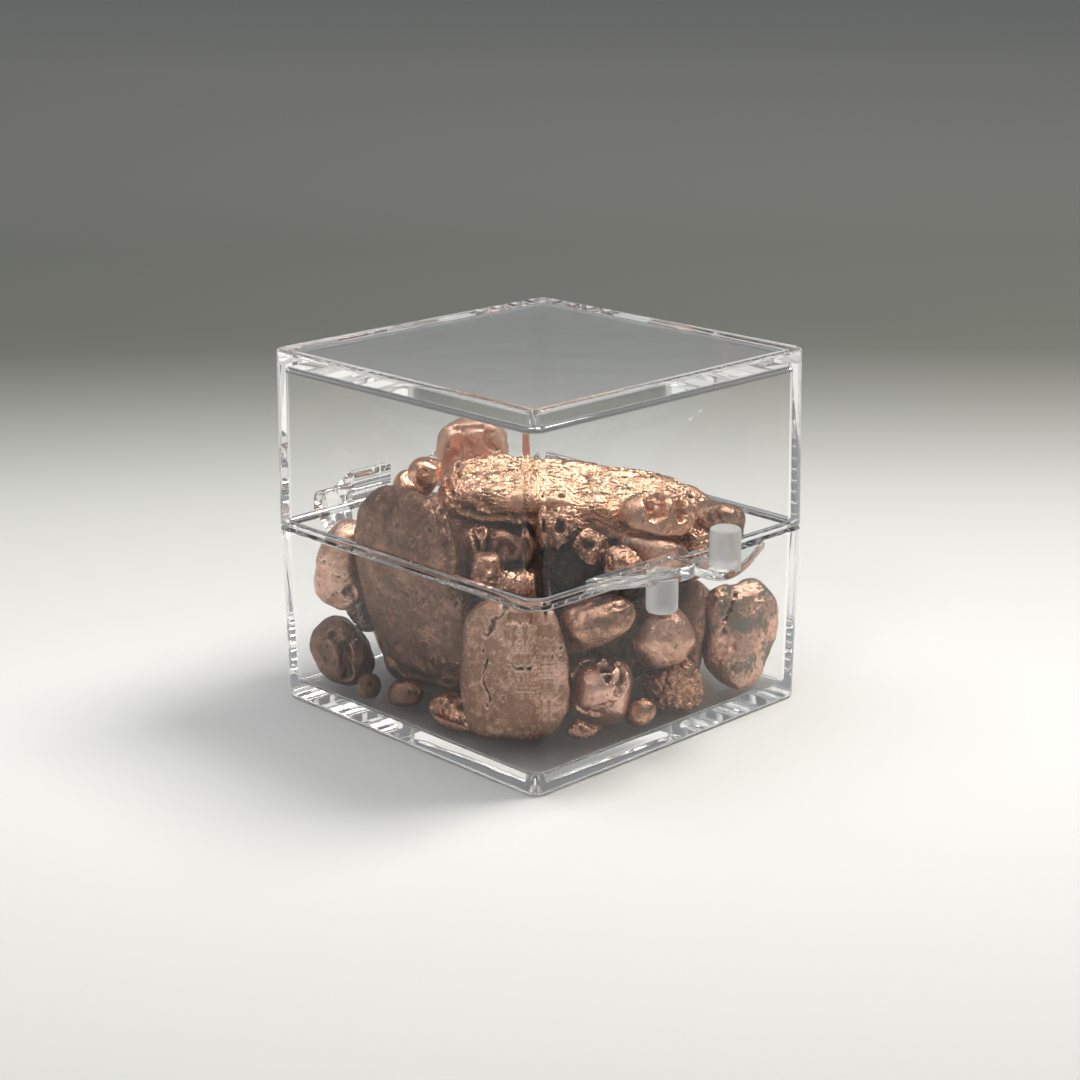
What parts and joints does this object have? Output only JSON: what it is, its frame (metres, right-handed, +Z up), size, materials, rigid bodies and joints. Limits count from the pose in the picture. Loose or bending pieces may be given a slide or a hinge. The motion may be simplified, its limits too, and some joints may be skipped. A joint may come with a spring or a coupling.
{
  "type": "native copper nuggets in a clear hinged box",
  "caption": "Small clear plastic specimen box with a hinged lid and front catch, filled with rounded native copper nuggets.",
  "frame": {"origin": "centre of the underside of the box's base", "axes": "+Z up, -Y towards the catch, +Y towards the hinge, X along the hinge line"},
  "size_m": [0.0326, 0.0389, 0.0313],
  "materials": {
    "clear_plastic": "clear polished plastic",
    "copper_bright": "bright native copper with sharp glints",
    "copper_worn": "worn pink-brown native copper",
    "copper_brown": "tarnished brown native copper with dark pits",
    "copper_mottled": "native copper with grey and olive patina"
  },
  "bodies": {
    "base": {"box_base": "clear_plastic", "nugget_tall_slab": "copper_brown", "nugget_corner_lump": "copper_brown", "nugget_long_hackly_slab": "copper_bright", "nugget_patina_heart": "copper_mottled", "nugget_bright_knob": "copper_bright", "nugget_top_back": "copper_bright", "nugget_front_lens": "copper_worn", "nugget_front_skull": "copper_worn", "nugget_front_pink": "copper_worn", "nugget_front_rough": "copper_worn", "nugget_left_lump": "copper_worn", "nugget_left_knobby": "copper_brown", "nugget_left_dark": "copper_mottled", "nugget_left_pebble": "copper_brown", "nugget_low_pebble": "copper_brown", "nugget_floor_plate": "copper_worn", "nugget_candle": "copper_worn", "nugget_corner_crumb": "copper_bright", "nugget_fan": "copper_worn", "nugget_arch": "copper_brown", "nugget_lobed": "copper_bright", "nugget_barrel": "copper_worn", "nugget_under_barrel": "copper_bright", "nugget_hollow_lump": "copper_bright", "nugget_ring_lump": "copper_mottled", "nugget_glittery": "copper_bright", "nugget_grey_face": "copper_mottled", "nugget_low_crumb_left": "copper_worn", "nugget_low_crumb_right": "copper_worn", "nugget_behind_pink": "copper_brown", "nugget_behind_knob": "copper_bright", "nugget_low_middle_left": "copper_brown", "nugget_low_middle_right": "copper_brown", "nugget_low_right": "copper_worn", "nugget_low_back_left": "copper_brown", "nugget_low_back_middle": "copper_worn", "nugget_low_back_right": "copper_brown", "nugget_middle_left": "copper_brown", "nugget_middle_front": "copper_brown", "nugget_high_left": "copper_brown", "nugget_high_front": "copper_brown", "nugget_high_right": "copper_worn", "nugget_high_back_left": "copper_worn", "nugget_high_back_middle": "copper_worn", "nugget_high_back_right": "copper_mottled"},
    "lid": {"box_lid": "clear_plastic"}
  },
  "joints": [
    {"name": "lid_hinge", "type": "hinge", "parent": "base", "child": "lid", "pos_m": [0, 0.018, 0.0162], "axis": [-1, 0, 0], "range_deg": [0, 180]}
  ]
}
